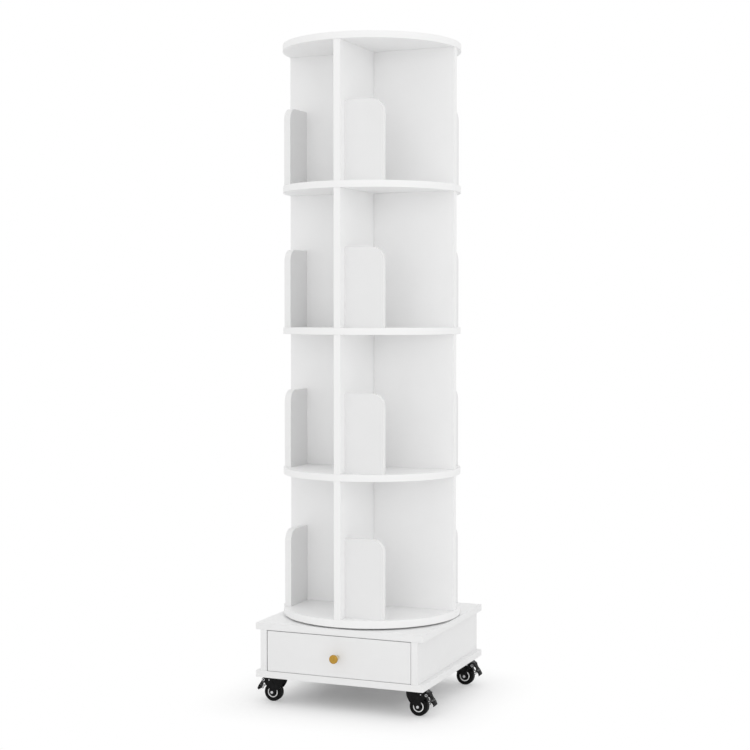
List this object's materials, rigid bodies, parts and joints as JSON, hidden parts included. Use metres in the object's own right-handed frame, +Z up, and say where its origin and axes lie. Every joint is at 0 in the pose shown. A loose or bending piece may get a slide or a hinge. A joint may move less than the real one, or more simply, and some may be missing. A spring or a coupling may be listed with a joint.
{
  "type": "revolving bookcase",
  "caption": "White round shelf tower with cross dividers and book stops, turning on a square base with a flush drawer and braked swivel casters.",
  "frame": {"origin": "middle of the overall footprint on the floor, which lies 11 mm in front of the turning axis because the drawer knob stands out", "axes": "+Z up along the turning axis, -Y toward the drawer front, +X to the viewer's right when facing the drawer"},
  "size_m": [0.4232, 0.422, 1.462],
  "materials": {
    "white_board": "matt white laminate on wood board",
    "drawer_board": "plain white paper-faced board",
    "runner_plastic": "moulded",
    "knob_brass": "satin gold",
    "zinc_steel": "zinc plated",
    "black_metal": "black paint",
    "black_tyre": "moulded black"
  },
  "bodies": {
    "base": {"base_bottom": "white_board", "base_top": "white_board", "base_side_left": "white_board", "base_side_right": "white_board", "base_back": "white_board", "runner_left": "runner_plastic", "runner_right": "runner_plastic", "bearing_lower_ring": "zinc_steel", "caster_fl_plate": "zinc_steel", "caster_fr_plate": "zinc_steel", "caster_bl_plate": "zinc_steel", "caster_br_plate": "zinc_steel"},
    "tower": {"shelf_disc_1": "white_board", "shelf_disc_2": "white_board", "shelf_disc_3": "white_board", "shelf_disc_4": "white_board", "shelf_disc_5": "white_board", "divider_x_1": "white_board", "divider_x_2": "white_board", "divider_x_3": "white_board", "divider_x_4": "white_board", "divider_y_1": "white_board", "divider_y_2": "white_board", "divider_y_3": "white_board", "divider_y_4": "white_board", "book_stop_1_front": "white_board", "book_stop_1_right": "white_board", "book_stop_1_back": "white_board", "book_stop_1_left": "white_board", "book_stop_2_front": "white_board", "book_stop_2_right": "white_board", "book_stop_2_back": "white_board", "book_stop_2_left": "white_board", "book_stop_3_front": "white_board", "book_stop_3_right": "white_board", "book_stop_3_back": "white_board", "book_stop_3_left": "white_board", "book_stop_4_front": "white_board", "book_stop_4_right": "white_board", "book_stop_4_back": "white_board", "book_stop_4_left": "white_board", "bearing_upper_ring": "zinc_steel"},
    "drawer": {"drawer_front": "white_board", "drawer_side_left": "drawer_board", "drawer_side_right": "drawer_board", "drawer_back": "drawer_board", "drawer_bottom": "drawer_board", "drawer_knob": "knob_brass"},
    "fork_fl": {"caster_fl_fork": "black_metal"},
    "wheel_fl": {"caster_fl_wheel": "black_tyre"},
    "pedal_fl": {"caster_fl_pedal": "black_metal"},
    "fork_fr": {"caster_fr_fork": "black_metal"},
    "wheel_fr": {"caster_fr_wheel": "black_tyre"},
    "pedal_fr": {"caster_fr_pedal": "black_metal"},
    "fork_bl": {"caster_bl_fork": "black_metal"},
    "wheel_bl": {"caster_bl_wheel": "black_tyre"},
    "pedal_bl": {"caster_bl_pedal": "black_metal"},
    "fork_br": {"caster_br_fork": "black_metal"},
    "wheel_br": {"caster_br_wheel": "black_tyre"},
    "pedal_br": {"caster_br_pedal": "black_metal"}
  },
  "joints": [
    {"name": "tower_spin", "type": "hinge", "parent": "base", "child": "tower", "pos_m": [0, 0.011, 0.1835], "axis": [0, 0, 1], "continuous": true},
    {"name": "drawer_slide", "type": "slide", "parent": "base", "child": "drawer", "axis": [0, -1, 0], "range_m": [0, 0.24]},
    {"name": "swivel_fl", "type": "hinge", "parent": "base", "child": "fork_fl", "pos_m": [-0.153, -0.142, 0.0515], "axis": [0, 0, 1], "continuous": true},
    {"name": "roll_fl", "type": "hinge", "parent": "fork_fl", "child": "wheel_fl", "pos_m": [-0.173, -0.142, 0.0205], "axis": [0, 1, 0], "continuous": true},
    {"name": "brake_fl", "type": "hinge", "parent": "fork_fl", "child": "pedal_fl", "pos_m": [-0.193, -0.142, 0.0475], "axis": [0, 1, 0], "range_deg": [-4, 18]},
    {"name": "swivel_fr", "type": "hinge", "parent": "base", "child": "fork_fr", "pos_m": [0.153, -0.142, 0.0515], "axis": [0, 0, 1], "continuous": true},
    {"name": "roll_fr", "type": "hinge", "parent": "fork_fr", "child": "wheel_fr", "pos_m": [0.173, -0.142, 0.0205], "axis": [0, 1, 0], "continuous": true},
    {"name": "brake_fr", "type": "hinge", "parent": "fork_fr", "child": "pedal_fr", "pos_m": [0.193, -0.142, 0.0475], "axis": [0, -1, 0], "range_deg": [-4, 18]},
    {"name": "swivel_bl", "type": "hinge", "parent": "base", "child": "fork_bl", "pos_m": [-0.153, 0.164, 0.0515], "axis": [0, 0, 1], "continuous": true},
    {"name": "roll_bl", "type": "hinge", "parent": "fork_bl", "child": "wheel_bl", "pos_m": [-0.173, 0.164, 0.0205], "axis": [0, 1, 0], "continuous": true},
    {"name": "brake_bl", "type": "hinge", "parent": "fork_bl", "child": "pedal_bl", "pos_m": [-0.193, 0.164, 0.0475], "axis": [0, 1, 0], "range_deg": [-4, 18]},
    {"name": "swivel_br", "type": "hinge", "parent": "base", "child": "fork_br", "pos_m": [0.153, 0.164, 0.0515], "axis": [0, 0, 1], "continuous": true},
    {"name": "roll_br", "type": "hinge", "parent": "fork_br", "child": "wheel_br", "pos_m": [0.173, 0.164, 0.0205], "axis": [0, 1, 0], "continuous": true},
    {"name": "brake_br", "type": "hinge", "parent": "fork_br", "child": "pedal_br", "pos_m": [0.193, 0.164, 0.0475], "axis": [0, -1, 0], "range_deg": [-4, 18]}
  ]
}
